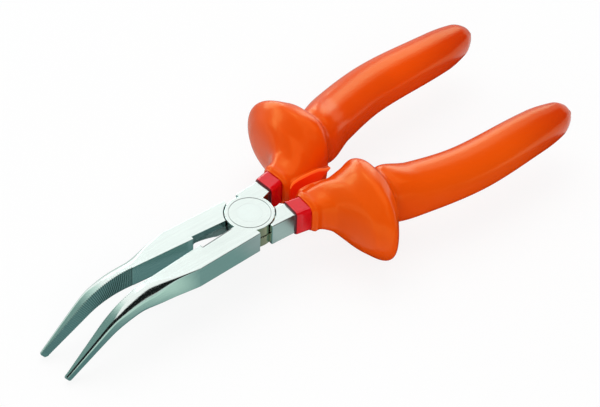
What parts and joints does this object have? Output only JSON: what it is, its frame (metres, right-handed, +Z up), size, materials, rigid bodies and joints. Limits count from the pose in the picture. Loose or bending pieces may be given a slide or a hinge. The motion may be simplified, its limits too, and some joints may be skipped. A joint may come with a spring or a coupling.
{
  "type": "bent nose pliers",
  "caption": "Insulated long nose pliers with a bent tapering nose, fine gripping teeth, a side cutter, a riveted lap joint and dipped handles with finger guards.",
  "frame": {"origin": "pivot axis of the lap joint, on the flat underside of the joint", "axes": "+X runs forward along the closing line to the jaw tips, +Z up along the pivot towards the face with the plain ring, +Y to the left; the nose bends down towards -Z"},
  "size_m": [0.2059, 0.0784, 0.0353],
  "materials": {
    "lever_steel": "ground and polished",
    "rivet_steel": "ground flush",
    "sleeve_red": "dipped, glossy",
    "grip_orange": "dipped, satin gloss"
  },
  "bodies": {
    "upper_lever": {"lever_a": "lever_steel", "rivet": "rivet_steel", "sleeve_a": "sleeve_red", "grip_a": "grip_orange"},
    "lower_lever": {"lever_b": "lever_steel", "sleeve_b": "sleeve_red", "grip_b": "grip_orange"}
  },
  "joints": [
    {"name": "pivot", "type": "hinge", "parent": "upper_lever", "child": "lower_lever", "pos_m": [0, 0, 0], "axis": [0, 0, -1], "range_deg": [-8.5, 27.4]}
  ]
}
